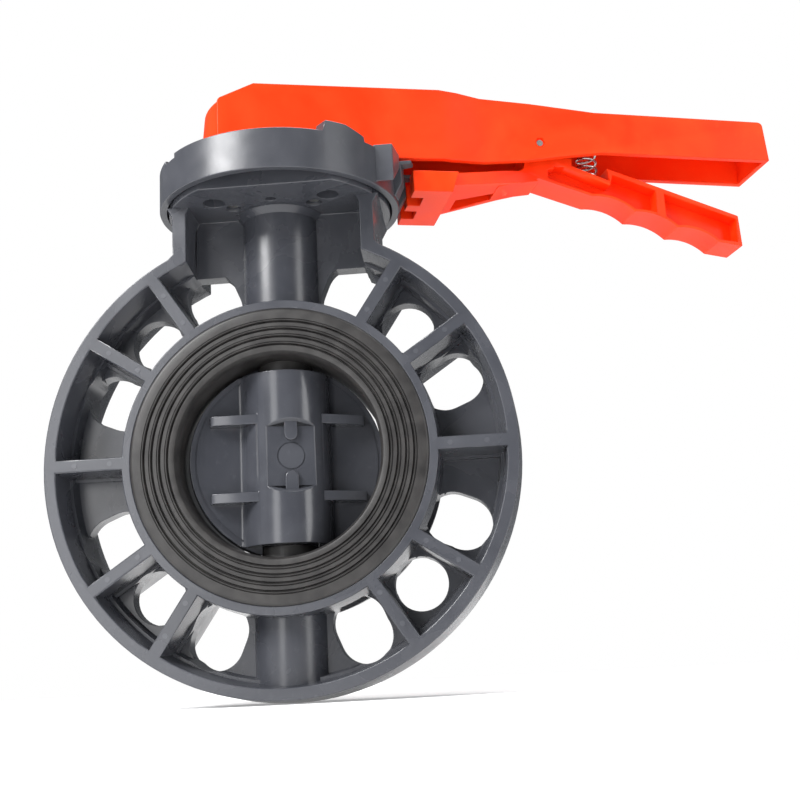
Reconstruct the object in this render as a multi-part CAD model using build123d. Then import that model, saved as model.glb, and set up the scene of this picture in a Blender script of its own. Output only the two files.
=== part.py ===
from build123d import *
import math
import os

# Wafer butterfly valve, 3 inch (DN80), in grey plastic with a rubber seat and a lever handle.
# Origin: centre of the flow bore.  +Z runs up the stem, Y is the flow axis, X is to the right.
# The lever is drawn one notch open, so the lever and the disc stand turned by OPEN_ANGLE.

# ---------------------------------------------------------------- driving dimensions (mm)
NOTCH_PITCH = 15.0
OPEN_ANGLE = NOTCH_PITCH

BODY_R = 100.0
BODY_HALF = 23.0
FACE_R = 98.5
RIM_INNER_R = 93.6
LEDGE_R = 92.2
LEDGE_INNER_R = 91.0
LEDGE_Y = 9.5
WEB_R = 90.0
WEB_HALF = 4.0
HUB_R = 65.6
HUB_ROOT_R = 67.0

HOLE_R = 11.2
ROUND_HOLE_CENTRE_R = 77.5
SLOT_CENTRE_R = (75.0, 80.8)
RIB_HALF = 2.6
RIB_ROOT_HALF = 3.2
RIB_FOOT_HALF = 4.4
RIB_FOOT_Y = 6.5
RIB_MID_R = 79.5
RIB_LENGTH = 33.0
RIB_ANGLES = (33.75, 56.25, 90.0, 123.75, 146.25)

SEAT_R = 42.0
SEAT_OUTER_R = 46.5
SEAT_FLANGE_R = 61.9
SEAT_RECESS_HALF = 20.0
SEAT_FACE_HALF = 24.2
SEAT_GROOVE_R = (46.6, 49.9, 53.2, 56.5, 59.6)
SEAT_BOSS_R = 12.0
SEAT_BOSS_Z = 36.7

DISC_R = 41.6
DISC_HALF = 4.0
DISC_HUB_R = 19.0
DISC_HUB_Z = 36.4
DISC_FILLET = 3.5
DISC_FLAT = 16.0
CIRCLE_MARK_R = (5.35, 5.85)
EDGE_LINE_R = (38.6, 39.3)
MARK_DEPTH = 0.4
TAB_HALF = 2.75
TAB_THICK = 2.2
TAB_Z = (9.2, 15.0)
FIN_Z = 16.4
FIN_THICK = 4.2

STEM_R = 8.0
STEM_BOTTOM_Z = -67.0
DRIVE_Z = 131.0
STEM_TOP_Z = 156.0
DRIVE_SIZE = 11.0
KEY_SIZE = 13.0
RUNNING = 0.06
FIT = 0.02

TUBE_R = 16.9
BOTTOM_BOSS_R = 15.5
BUSH_R = 11.0
BUSH_SPANS = {"inner_stem_bush": (48.0, 64.0), "upper_stem_bush": (84.0, 116.5)}
LOWER_BUSH_SPAN = (-66.0, -48.0)
O_RING_R = 1.15
UPPER_O_RING_Z = (92.0, 102.0)
LOWER_O_RING_Z = (-54.0,)

NECK_BAR_X = (37.6, 43.6)
PAD_Z = 110.3
PAD_TOP_Z = 121.0
PAD_R = 49.3
PAD_FLAT_Y = 40.4
PAD_POCKET_R = 13.0
PAD_POCKET_Z = 117.0
F05_CENTRE_R = 25.0
F05_HOLE_R = 3.3
F07_CENTRE_R = 35.0
F07_HOLE_R = 4.5
VENT_R = 2.0

PLATE_Z = 112.3
PLATE_TOP_Z = 130.0
PLATE_R = 53.3
PLATE_WALL = 3.2
PLATE_DECK = 4.0
TOOTH_TIP_R = 61.3
TOOTH_LOW_R = 56.8
TOOTH_STEP_Z = 128.2
TOOTH_BOTTOM_Z = 113.8
TOOTH_COUNT = 8

LEVER_END_U = 233.9
LEVER_HALF = 15.7
HEAD_HALF = 21.0
HEAD_BACK_U = -28.5
HEAD_ROUND_R = 35.6
HEAD_ROUND_DRAFT = 2.6
HEAD_ROUND_HALF = 19.2
HEAD_ROUND_TOP_Z = 160.0
LEVER_BOTTOM_Z = 132.4
LEVER_WALL = 3.2
SOCKET_BOSS_R = 12.0

PIN_U = 119.6
PIN_Z = 145.6
PIN_R = 1.5
TRIGGER_HALF = 8.5
LATCH_HALF = 20.6
LATCH_U = (57.5, 78.6)
LATCH_Z = (117.6, 127.6)
NOTCH_V = 7.9
NOTCH_WIDTH = 9.0
NOTCH_DEPTH_U = 63.5

GRIP_CUSPS = ((206.7, 101.2), (186.6, 108.0), (166.0, 115.5), (145.5, 122.7))
GRIP_HOLLOW_RISE = 2.4
GRIP_WALL = 1.2
GRIP_WEB_HALF = 1.2

SPRING_U = 147.0
SPRING_Z = (134.4, 156.8)
SPRING_R = 5.2
WIRE_R = 0.6


# ---------------------------------------------------------------- shared shape helpers
def facing(shape):
    """Turn a shape drawn flat, as seen from the front, so that its thickness runs along the flow."""
    return Rot(90, 0, 0) * shape


def turned(shape):
    """Turn a shape drawn with the lever along +X to where the lever stands."""
    return Rot(0, 0, OPEN_ANGLE) * shape


def prism(points, low, high):
    """Extrude a closed outline of (x, y) points from z = low to z = high."""
    outline = make_face(Polyline(*[(x, y, low) for x, y in points], close=True))
    return extrude(outline, high - low, dir=(0, 0, 1))


def side_prism(points, low, high):
    """Extrude a closed outline of (u, z) points across the lever, from v = low to v = high."""
    outline = make_face(Polyline(*[(u, low, z) for u, z in points], close=True))
    return extrude(outline, high - low, dir=(0, 1, 0))


def tube(outer, inner, low, high):
    """A vertical sleeve about the stem axis."""
    ring = Cylinder(outer, high - low) - Cylinder(inner, high - low)
    return Pos(0, 0, (low + high) / 2) * ring


def rod(radius, low, high, x=0.0, y=0.0):
    """A vertical round bar."""
    return Pos(x, y, (low + high) / 2) * Cylinder(radius, high - low)


def block(x, y, z):
    """A box given by its (low, high) span along each axis."""
    size = [span[1] - span[0] for span in (x, y, z)]
    middle = [(span[0] + span[1]) / 2 for span in (x, y, z)]
    return Pos(*middle) * Box(*size)


def polar(radius, degrees):
    """A point at a radius and an angle from +X."""
    return radius * math.cos(math.radians(degrees)), radius * math.sin(math.radians(degrees))


def clock(radius, degrees):
    """A point at a radius and an angle measured from straight up, towards the right."""
    return polar(radius, 90 - degrees)


def merged(shapes):
    """Fuse a list of shapes into one."""
    first, *rest = shapes
    return first.fuse(*rest).clean()


# ---------------------------------------------------------------- valve body
def body_ring():
    """Rim, web and hub ring, turned about the flow axis, with its draft and its inner ledge."""
    half = [
        (FACE_R, BODY_HALF),
        (RIM_INNER_R, BODY_HALF),
        (LEDGE_R, LEDGE_Y),
        (LEDGE_INNER_R, LEDGE_Y),
        (WEB_R, WEB_HALF),
        (HUB_ROOT_R, WEB_HALF),
        (HUB_R, BODY_HALF),
        (SEAT_FLANGE_R, BODY_HALF),
        (SEAT_FLANGE_R, SEAT_RECESS_HALF),
        (SEAT_OUTER_R, SEAT_RECESS_HALF),
    ]
    other = [(r, -y) for r, y in reversed(half)]
    outline = [(BODY_R, 0)] + half + other
    profile = make_face(Polyline(*[(r, 0, y) for r, y in outline], close=True))
    return revolve(profile, axis=Axis.Z)


def bolt_holes():
    """Eight radial slots and four round holes through the web."""
    cutters = []
    depth = 2 * LEDGE_Y
    inner, outer = SLOT_CENTRE_R
    for step in range(8):
        slot = SlotCenterToCenter(outer - inner, 2 * HOLE_R)
        cutter = Pos(0, 0, -depth / 2) * extrude(slot, depth)
        angle = 90 - (22.5 + 45 * step)
        x, y = polar((inner + outer) / 2, angle)
        cutters.append(Pos(x, y, 0) * Rot(0, 0, angle) * cutter)
    for step in range(4):
        x, y = clock(ROUND_HOLE_CENTRE_R, 45 + 90 * step)
        cutters.append(Pos(x, y, 0) * Cylinder(HOLE_R, depth))
    return cutters


def rib_bar():
    """One rib lying along X: drafted sides and a stepped foot where it meets the web."""
    half = [
        (RIB_HALF, BODY_HALF),
        (RIB_ROOT_HALF, RIB_FOOT_Y),
        (RIB_FOOT_HALF, RIB_FOOT_Y),
        (RIB_FOOT_HALF, 0),
        (RIB_FOOT_HALF, -RIB_FOOT_Y),
        (RIB_ROOT_HALF, -RIB_FOOT_Y),
        (RIB_HALF, -BODY_HALF),
    ]
    outline = half + [(-y, z) for y, z in reversed(half)]
    start = -RIB_LENGTH / 2
    section = make_face(Polyline(*[(start, y, z) for y, z in outline], close=True))
    return extrude(section, RIB_LENGTH, dir=(1, 0, 0))


def body_ribs():
    """Radial ribs from the hub ring to the rim, flush with both faces."""
    ribs = []
    for angle in RIB_ANGLES:
        for side in (-1, 1):
            x, y = clock(RIB_MID_R, side * angle)
            ribs.append(Pos(x, y, 0) * Rot(0, 0, 90 - side * angle) * rib_bar())
    return ribs


def top_pad():
    """The flat flange on top of the neck that carries the index plate or an actuator."""
    disc = rod(PAD_R, PAD_Z, PAD_TOP_Z)
    return disc & block((-60, 60), (-PAD_FLAT_Y, PAD_FLAT_Y), (PAD_Z - 1, PAD_TOP_Z + 1))


def neck_bar(side):
    """One side wall of the neck, which turns out of the rim and flares into the pad."""
    inner, outer = NECK_BAR_X
    points = [
        (inner, 85.8),
        (inner + 12.8, 79.2),
        (outer + 13.9, 79.2),
        (outer + 3.0, 86.3),
        (outer, 89.5),
        (outer, PAD_Z - 4.0),
        (outer + 2.5, PAD_Z + 0.5),
        (inner - 1.5, PAD_Z + 0.5),
        (inner, PAD_Z - 3.0),
    ]
    flat = [(side * x, y) for x, y in points]
    return facing(prism(flat, -BODY_HALF, BODY_HALF))


def pad_holes():
    """Four holes on the small bolt circle, four on the large one and a small vent."""
    low = PAD_Z - 5
    high = PAD_TOP_Z + 5
    cutters = [rod(VENT_R, low, high, 0, -F05_CENTRE_R)]
    for step in range(4):
        x, y = polar(F05_CENTRE_R, 45 + 90 * step)
        cutters.append(rod(F05_HOLE_R, low, high, x, y))
        x, y = polar(F07_CENTRE_R, 45 + 90 * step)
        cutters.append(rod(F07_HOLE_R, low, high, x, y))
    return cutters


def valve_body():
    ring = facing(merged([body_ring(), *body_ribs()]).cut(*bolt_holes()))
    inner = NECK_BAR_X[0]
    for face in (-1, 1):
        span = sorted((face * WEB_HALF, face * (BODY_HALF + 1)))
        ring = ring - block((-inner, inner), span, (72, 101))
    # The web carries on up the neck between the two side walls.
    panel = block((-inner - 3, inner + 3), (-WEB_HALF, WEB_HALF), (84, PAD_Z + 0.5))
    stem_tube = rod(TUBE_R, 56, PAD_Z + 0.5)
    flare = Pos(0, 0, PAD_Z - 1.2) * Cone(TUBE_R, TUBE_R + 2.6, 2.8)
    boss = rod(BOTTOM_BOSS_R, -96, -56)
    bars = [neck_bar(-1), neck_bar(1)]
    body = merged([ring, panel, stem_tube, flare, boss, top_pad(), *bars])
    bore = facing(Cylinder(SEAT_OUTER_R, 3 * BODY_HALF))
    recess = facing(Cylinder(SEAT_FLANGE_R, 10))
    cutters = [bore, *pad_holes()]
    for face in (-1, 1):
        cutters.append(Pos(0, face * (SEAT_RECESS_HALF + 5), 0) * recess)
    cutters.append(rod(BUSH_R, 40, PAD_TOP_Z + 1))
    cutters.append(rod(BUSH_R, LOWER_BUSH_SPAN[0] - 2, -40))
    cutters.append(rod(PAD_POCKET_R, PAD_POCKET_Z, PAD_TOP_Z + 1))
    return body.cut(*cutters)


# ---------------------------------------------------------------- seat and disc
def seat_liner():
    """Moulded rubber sleeve with a grooved sealing face on each side and holes for the stem."""
    face = SEAT_FACE_HALF
    half = [(SEAT_R, face - 5.0), (SEAT_R + 0.5, face - 2.0), (SEAT_R + 1.8, face)]
    for radius in SEAT_GROOVE_R:
        half += [(radius - 0.8, face), (radius, face - 1.1), (radius + 0.8, face)]
    half += [
        (SEAT_FLANGE_R - FIT, face),
        (SEAT_FLANGE_R - FIT, SEAT_RECESS_HALF + FIT),
        (SEAT_OUTER_R - FIT, SEAT_RECESS_HALF + FIT),
    ]
    other = [(r, -y) for r, y in reversed(half)]
    profile = make_face(Polyline(*[(r, 0, y) for r, y in half + other], close=True))
    liner = facing(revolve(profile, axis=Axis.Z))
    # A flat round boss about each stem hole, which the end of the disc hub turns on.
    within = facing(Cylinder(SEAT_R + 2, 4 * SEAT_BOSS_R))
    bosses = [rod(SEAT_BOSS_R, *span) & within for span in ((SEAT_BOSS_Z, 50), (-50, -SEAT_BOSS_Z))]
    return merged([liner, *bosses]) - rod(STEM_R + RUNNING, -70, 70)


def fin_outline():
    """Half outline of a disc fin, from its rounded tip to the hub, mirrored to both faces."""
    front = [(33.2, -2.0), (32.6, -8.4), (30.6, -9.4), (14.0, -13.4)]
    front += [(-u, v) for u, v in reversed(front)]
    return front + [(u, -v) for u, v in reversed(front)]


def disc_hub_flat(face):
    """The flat cut into the hub on one face, with sloping ends."""
    deep = 6.0
    long = 12.5
    top = DISC_FLAT + deep
    outline = [(-long, DISC_FLAT), (long, DISC_FLAT), (long + deep, top), (-long - deep, top)]
    points = [(face * v, z) for z, v in outline]
    sketch = make_face(Polyline(*[(-DISC_HUB_R, v, z) for v, z in points], close=True))
    return extrude(sketch, 2 * DISC_HUB_R, dir=(1, 0, 0))


def hub_roots():
    """The four hollow fillets that run up the disc where the hub grows out of the plate."""
    centre_y = DISC_HALF + DISC_FILLET
    centre_x = math.sqrt((DISC_HUB_R + DISC_FILLET) ** 2 - centre_y ** 2)
    touch_y = centre_y * DISC_HUB_R / (DISC_HUB_R + DISC_FILLET)
    span = (-DISC_HUB_Z, DISC_HUB_Z)
    root = block((DISC_HUB_R - 3, centre_x), (DISC_HALF - 0.5, touch_y), span)
    root = root - rod(DISC_FILLET, -DISC_HUB_Z - 1, DISC_HUB_Z + 1, centre_x, centre_y)
    root = root & Sphere(DISC_R)
    right = [root, mirror(root, Plane.XZ)]
    return right + [mirror(shape, Plane.YZ) for shape in right]


def hub_tab(face, end):
    """A small round-nosed key that stands on the hub flat and points at its centre."""
    nose = Pos(0, TAB_THICK / 2, TAB_Z[0]) * Rot(90, 0, 0) * Cylinder(TAB_HALF, TAB_THICK)
    bar = block((-TAB_HALF, TAB_HALF), (0, TAB_THICK), TAB_Z) + nose
    placed = Pos(0, DISC_FLAT - 0.4, 0) * bar
    if end < 0:
        placed = mirror(placed, Plane.XY)
    if face < 0:
        placed = mirror(placed, Plane.XZ)
    return placed


def stem_section(size, radius, low, high):
    """A round bar with two pairs of flats."""
    return rod(radius, low, high) & block((-size / 2, size / 2), (-size / 2, size / 2), (low, high))


def disc():
    """Round closing disc with a stout hub over the stem and two cross fins on each side."""
    plate = facing(Cylinder(DISC_R, 2 * DISC_HALF))
    hub = rod(DISC_HUB_R, -DISC_HUB_Z, DISC_HUB_Z)
    fins = [prism(fin_outline(), z - FIN_THICK / 2, z + FIN_THICK / 2) for z in (-FIN_Z, FIN_Z)]
    # The plate is cut away round the seat's bosses, and the hub stops just short of them.
    room = SEAT_BOSS_R + 0.4
    ends = [rod(room, *span) for span in ((DISC_HUB_Z, 50), (-50, -DISC_HUB_Z))]
    body = (merged([plate, *fins]) & Sphere(DISC_R)).cut(*ends)
    body = merged([body, hub, *hub_roots()]).cut(disc_hub_flat(-1), disc_hub_flat(1))
    tabs = [hub_tab(face, end) for face in (-1, 1) for end in (-1, 1)]
    body = merged([body, *tabs])
    inner, outer = CIRCLE_MARK_R
    ring = Cylinder(outer, 2 * MARK_DEPTH) - Cylinder(inner, 2 * MARK_DEPTH)
    inner, outer = EDGE_LINE_R
    line = Cylinder(outer, 2 * MARK_DEPTH) - Cylinder(inner, 2 * MARK_DEPTH)
    for face in (-1, 1):
        body = body - Pos(0, face * DISC_FLAT, 0) * facing(ring)
        body = body - (Pos(0, face * DISC_HALF, 0) * facing(line) - rod(DISC_HUB_R, -45, 45))
    return turned(body - stem_section(KEY_SIZE + 2 * FIT, STEM_R + FIT, -45, 45))


# ---------------------------------------------------------------- stem and its bearings
def stem():
    """Steel stem: flats through the disc, a groove for the ring and a square drive with a tapped end."""
    lower = rod(STEM_R, STEM_BOTTOM_Z, -DISC_R)
    middle = stem_section(KEY_SIZE, STEM_R, -DISC_R, DISC_R)
    upper = rod(STEM_R, DISC_R, DRIVE_Z)
    square = (-DRIVE_SIZE / 2, DRIVE_SIZE / 2)
    drive = block(square, square, (DRIVE_Z, STEM_TOP_Z))
    shaft = merged([lower, middle, upper, drive])
    groove = tube(STEM_R + 1, 7.2, 118.8, 120.1)
    return turned(shaft - groove - rod(3.4, STEM_TOP_Z - 20, STEM_TOP_Z + 1))


def stem_bush(span, seals):
    """Plain plastic bearing sleeve, with an inner groove for each seal ring."""
    bush = tube(BUSH_R - FIT, STEM_R + RUNNING, span[0], span[1])
    for z in seals:
        if span[0] < z < span[1]:
            bush = bush - rod(STEM_R + 2 * O_RING_R + 0.12, z - 1.3, z + 1.3)
    return bush


def o_rings(levels):
    """Round rubber rings about the stem, one separate solid for each level."""
    return [Pos(0, 0, z) * Torus(STEM_R + RUNNING + O_RING_R, O_RING_R) for z in levels]


def thrust_washer():
    return tube(PAD_POCKET_R - 0.3, STEM_R + RUNNING, PAD_POCKET_Z, PAD_POCKET_Z + 1.6)


def retaining_ring():
    """Open spring ring that snaps into the stem groove and keeps the stem from blowing out."""
    ring = tube(11.6, 7.25, 118.85, 120.05)
    return turned(ring - block((-12, -6), (-2.2, 2.2), (118, 121)))


# ---------------------------------------------------------------- index plate
def index_tooth(angle):
    """One latch tooth: full reach near the top, drawn back and sloping below."""
    inner = PLATE_R - 1
    side = [
        (inner, TOOTH_BOTTOM_Z),
        (PLATE_R + 0.4, TOOTH_BOTTOM_Z),
        (TOOTH_LOW_R, 119.5),
        (TOOTH_LOW_R, TOOTH_STEP_Z),
        (TOOTH_TIP_R, TOOTH_STEP_Z),
        (TOOTH_TIP_R, PLATE_TOP_Z),
        (inner, PLATE_TOP_Z),
    ]
    tooth = side_prism(side, -4, 4)
    tip = TOOTH_TIP_R + 1
    taper = prism([(inner - 1, -3.7), (tip, -2.2), (tip, 2.2), (inner - 1, 3.7)], 110, 132)
    return Rot(0, 0, angle) * (tooth & taper)


def end_stop(mirrored):
    """The large faceted stop beside the first tooth, with a sloping underside."""
    outline = [(45.2, -27.0), (53.5, -27.0), (55.6, -15.0), (50.8, -13.0), (47.0, -20.0)]
    stop = prism(outline, TOOTH_BOTTOM_Z, PLATE_TOP_Z + 0.8)
    wedge = Pos(50, -27, TOOTH_BOTTOM_Z) * Rot(41, 0, 0) * Pos(0, 20, -15) * Box(60, 60, 30)
    shape = stop - wedge
    if mirrored:
        shape = Rot(0, 0, 90) * mirror(shape, Plane.XZ)
    return shape


def top_stop(mirrored):
    """A raised lug on the deck that the lever's side meets at the end of its travel."""
    top = PLATE_TOP_Z + 4.9
    low = PLATE_TOP_Z - 1
    outline = [(-11.5, low), (-10.0, top), (-0.5, top), (9.3, top - 2.7), (10.0, low)]
    lug = Rot(0, 0, 42) * side_prism(outline, -70, -30) & tube(PLATE_R, 46.5, low - 1, top + 1)
    if mirrored:
        lug = Rot(0, 0, 90) * mirror(lug, Plane.XZ)
    return lug


def index_plate():
    """Skirted plate with radial ribs below, latch teeth round a quarter turn and a stop at each end."""
    inner = PLATE_R - PLATE_WALL
    skirt = tube(PLATE_R, inner, PLATE_Z, PLATE_TOP_Z)
    deck = tube(inner + 0.5, 9.5, PLATE_TOP_Z - PLATE_DECK, PLATE_TOP_Z)
    hub = tube(15.0, 9.5, PAD_TOP_Z, PLATE_TOP_Z)
    ribs = []
    for step in range(24):
        rib = block((14.0, inner + 0.5), (-1.6, 1.6), (PAD_TOP_Z, PLATE_TOP_Z - PLATE_DECK + 0.5))
        ribs.append(Rot(0, 0, 15 * step) * rib)
    screw_bosses = []
    for step in range(4):
        for centre, radius in ((F05_CENTRE_R, 5.6), (F07_CENTRE_R, 7.0)):
            x, y = polar(centre, 45 + 90 * step)
            screw_bosses.append(rod(radius, PAD_TOP_Z, PLATE_TOP_Z - 1, x, y))
    teeth = [index_tooth(-7.5 + NOTCH_PITCH * step) for step in range(TOOTH_COUNT)]
    stops = [end_stop(False), end_stop(True), top_stop(False), top_stop(True)]
    plate = merged([skirt, deck, hub, *ribs, *screw_bosses, *teeth, *stops])
    cutters = []
    for step in range(4):
        x, y = polar(F05_CENTRE_R, 45 + 90 * step)
        cutters.append(rod(2.6, PAD_TOP_Z - 1, PLATE_TOP_Z + 1, x, y))
        cutters.append(rod(4.8, PLATE_TOP_Z - 3.6, PLATE_TOP_Z + 1, x, y))
        x, y = polar(F07_CENTRE_R, 45 + 90 * step)
        cutters.append(rod(4.5, PAD_TOP_Z - 1, PLATE_TOP_Z + 1, x, y))
    x, y = polar(PLATE_R, -142)
    cutters.append(Pos(x, y, PLATE_TOP_Z) * Rot(0, 0, -142) * Box(12, 9, 4))
    return plate.cut(*cutters)


def plate_screws():
    """Four pan-head screws that hold the index plate down on the pad."""
    screws = []
    for step in range(4):
        x, y = polar(F05_CENTRE_R, 45 + 90 * step)
        head = rod(4.5, PLATE_TOP_Z - 3.5, PLATE_TOP_Z - 0.3, x, y)
        shank = rod(2.5, PAD_Z + 1.5, PLATE_TOP_Z - 3.4, x, y)
        socket = Pos(x, y, PLATE_TOP_Z - 1.2) * extrude(RegularPolygon(2.2, 6), 3)
        screws.append((head + shank) - socket)
    return screws


# ---------------------------------------------------------------- lever handle
def lever_side():
    """Outer side outline of the lever, from the back of the head to the end of the grip."""
    return [
        (HEAD_BACK_U, LEVER_BOTTOM_Z),
        (HEAD_BACK_U, 158.5),
        (-12.5, 166.5),
        (80.0, 167.2),
        (116.0, 164.9),
        (147.0, 161.8),
        (LEVER_END_U - 1.5, 160.2),
        (LEVER_END_U, 140.2),
        (150.0, 141.5),
        (128.0, 138.7),
        (113.6, 136.5),
        (86.0, 134.2),
        (76.0, 133.4),
        (60.0, LEVER_BOTTOM_Z + 0.6),
    ]


def lever_plan(inset):
    """Plan outline: broad head, tapering to the grip; inset shrinks it for the hollow inside."""
    head = HEAD_HALF - inset
    grip = LEVER_HALF - inset
    end = LEVER_END_U + 1 - inset
    back = HEAD_BACK_U - 1 + inset
    upper = [(back, head), (72.0, head), (92.0, grip), (end, grip)]
    return upper + [(u, -v) for u, v in reversed(upper)]


def lever_handle():
    """One-piece moulded lever: an inverted channel with a ribbed head over the stem's square."""
    wall = LEVER_WALL
    side = side_prism(lever_side(), -30, 30)
    ends = side.edges().filter_by(Axis.Y).sort_by(Axis.Z)[-6:].sort_by(Axis.X)
    side = fillet([ends[0], ends[-1]], 2.6)
    outer = side & prism(lever_plan(0.0), 100, 200)
    height = HEAD_ROUND_TOP_Z - LEVER_BOTTOM_Z
    top_r = HEAD_ROUND_R - HEAD_ROUND_DRAFT
    dome = Pos(0, 0, LEVER_BOTTOM_Z + height / 2) * Cone(HEAD_ROUND_R, top_r, height)
    dome = fillet(dome.edges().group_by(Axis.Z)[-1], 2.5)
    dome = dome & block((-60, 60), (-HEAD_ROUND_HALF, HEAD_ROUND_HALF), (100, 200))
    ceiling = [(u, z - wall) for u, z in lever_side()[1:6]]
    ceiling = [(-60, ceiling[0][1]), *ceiling, (240, ceiling[-1][1]), (240, 100), (-60, 100)]
    channel = prism(lever_plan(wall), 100, 200) & side_prism(ceiling, -30, 30)
    round_hollow = rod(top_r - wall, 100, HEAD_ROUND_TOP_Z - wall - 1)
    inside = HEAD_ROUND_HALF - wall
    round_hollow = round_hollow & block((-60, 60), (-inside, inside), (90, 200))
    boss = rod(SOCKET_BOSS_R, LEVER_BOTTOM_Z, 164)
    web_ribs = [block((-31, -10), (-1.5, 1.5), (LEVER_BOTTOM_Z + 0.6, 158))]
    web_ribs += [block((10, 50), (-1.5, 1.5), (140, 164))]
    for side in (-15, 15):
        web_ribs.append(block((-1.5, 1.5), (side - 4, side + 4), (LEVER_BOTTOM_Z + 0.6, 158)))
    spring_seat = rod(4.0, SPRING_Z[1] - 3.0, 159.0, SPRING_U)
    shell = merged([outer, dome]).cut(channel, round_hollow)
    shell = merged([shell, boss, *web_ribs, spring_seat])
    socket = block(*[(-DRIVE_SIZE / 2 - FIT, DRIVE_SIZE / 2 + FIT)] * 2, (100, STEM_TOP_Z + 0.3))
    pin_hole = Pos(PIN_U, 0, PIN_Z) * Rot(90, 0, 0) * Cylinder(PIN_R + FIT, 60)
    recess = Pos(PIN_U, 0, PIN_Z) * Rot(90, 0, 0) * extrude(RegularPolygon(2.5, 6), 1.2)
    near = Pos(0, -LEVER_HALF + 1.0, 0) * recess
    far = mirror(near, Plane.XZ)
    well = rod(9.5, 161.0, 170)
    clearance = rod(4.3, 150, 165)
    return turned(shell.cut(socket, pin_hole, near, far, well, clearance))


def lever_screw():
    """Hexagon screw in the well on top of the lever, tapped into the stem's end."""
    head = Pos(0, 0, 163.9) * extrude(RegularPolygon(7.3, 6), 4.6)
    shank = rod(3.35, STEM_TOP_Z - 16, 164.0)
    return turned(head + shank)


def lever_washer():
    return turned(tube(8.6, 4.3, 161.0, 162.4))


def spring_washer():
    """Split lock washer under the screw head."""
    ring = tube(6.8, 4.2, 162.4, 163.9)
    return turned(ring - block((4, 7), (-0.6, 0.6), (162, 164)))


# ---------------------------------------------------------------- trigger
def grip_outline():
    """Side outline of the trigger's arm and finger grip, notched on top where the spring stands."""
    top = [(100.0, 132.6), (110.0, 134.2), (124.0, 141.5), (136.8, 141.5)]
    top += [(136.4, 137.6), (155.0, 130.4), (153.9, 136.9), (218.0, 114.6)]
    return top + [(218.6, 99.3), *GRIP_CUSPS, (120.0, 130.9), (100.0, 126.0)]


def finger_hollows(grow):
    """Shallow arcs between the grip's cusps, grown by a wall's thickness where asked."""
    cutters = []
    for (u1, z1), (u2, z2) in zip(GRIP_CUSPS, GRIP_CUSPS[1:]):
        middle_u = (u1 + u2) / 2
        middle_z = (z1 + z2) / 2
        length = math.hypot(u1 - u2, z1 - z2)
        rise = GRIP_HOLLOW_RISE
        radius = (length ** 2 / 4 + rise ** 2) / (2 * rise)
        below = radius - rise
        centre_u = middle_u - (z2 - z1) / length * below
        centre_z = middle_z - (u1 - u2) / length * below
        cutters.append(Pos(centre_u, 0, centre_z) * Rot(90, 0, 0) * Cylinder(radius + grow, 60))
    return cutters


def grip_pockets():
    """Two deep pockets in each side of the grip, down to its thin middle web and lower wall."""
    shapes = [
        [
            (124.6, 137.2),
            (132.8, 136.9),
            (154.7, 128.4),
            (156.2, 133.8),
            (177.3, 126.4),
            (177.3, 112.9),
            (166.0, 116.9),
            (145.5, 124.1),
            (124.6, 130.8),
        ],
        [(181.5, 125.0), (216.6, 112.8), (216.6, 101.4), (206.7, 102.5), (186.6, 109.4), (181.5, 111.3)],
    ]
    cutters = []
    for points in shapes:
        for low, high in ((-10.0, -GRIP_WEB_HALF), (GRIP_WEB_HALF, 10.0)):
            pocket = side_prism(points, low, high)
            cutters.append(pocket.cut(*finger_hollows(GRIP_WALL)))
    return cutters


def spring_seat():
    """A round seat on the sloping floor of the notch, which the spring stands on."""
    post = rod(SPRING_R + 0.3, 120, SPRING_Z[0] - 0.2, SPRING_U)
    above = [(138.0, 136.0), (156.0, 129.1), (156.0, 140.0), (138.0, 140.0)]
    return post & side_prism(above, -10, 10)


def trigger_latch():
    """One moulded piece: toothed latch block, tapering arm, pivot eye and finger grip."""
    half = TRIGGER_HALF
    grip = side_prism(grip_outline(), -half, half).cut(*finger_hollows(0.0), *grip_pockets())
    grip = merged([grip, spring_seat()])
    eye = Pos(PIN_U, 0, PIN_Z) * Rot(90, 0, 0) * Cylinder(5.0, 2 * half)
    cheek_outline = [(PIN_U - 5.0, PIN_Z), (PIN_U + 5.0, PIN_Z), (128.0, 136.0), (112.0, 132.0)]
    cheek = side_prism(cheek_outline, -half, half)
    arm_outline = [(74.0, 121.5), (74.0, 127.4), (104.0, 133.4), (112.0, 134.4), (120.0, 129.6)]
    arm_side = side_prism([*arm_outline, (104.0, 127.2)], -30, 30)
    edge = [(73, 19.0), (112, half), (121, half)]
    arm_plan = prism(edge + [(u, -v) for u, v in reversed(edge)], 100, 160)
    window = prism([(82, 2.0), (106, 0.5), (108, 5.0), (82, 14.2)], 100, 160)
    arm = (arm_side & arm_plan) - window
    low, high = LATCH_Z
    front, back = LATCH_U
    latch_outline = [(front, low), (back - 3.2, low), (back, high), (front, high)]
    latch = side_prism(latch_outline, -LATCH_HALF, LATCH_HALF)
    trigger = merged([grip, eye, cheek, arm, latch])
    for side in (-1, 1):
        notch = block((50, NOTCH_DEPTH_U), (-NOTCH_WIDTH / 2, NOTCH_WIDTH / 2), (100, 140))
        trigger = trigger - Pos(0, side * NOTCH_V, 0) * notch
    pin_hole = Pos(PIN_U, 0, PIN_Z) * Rot(90, 0, 0) * Cylinder(PIN_R + RUNNING, 60)
    spring_well = rod(SPRING_R + 0.9, SPRING_Z[0] - 0.2, 160, SPRING_U)
    return turned(trigger.cut(pin_hole, spring_well))


def trigger_pin():
    """Steel pivot pin through both walls of the lever."""
    return turned(Pos(PIN_U, 0, PIN_Z) * Rot(90, 0, 0) * Cylinder(PIN_R, 2 * LEVER_HALF - 1.6))


def trigger_spring():
    """Return spring between the grip and the roof of the lever, as its plain outer sleeve."""
    low, high = SPRING_Z
    sleeve = rod(SPRING_R, low, high, SPRING_U) - rod(SPRING_R - 2 * WIRE_R, low, high, SPRING_U)
    return turned(sleeve)


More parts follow.
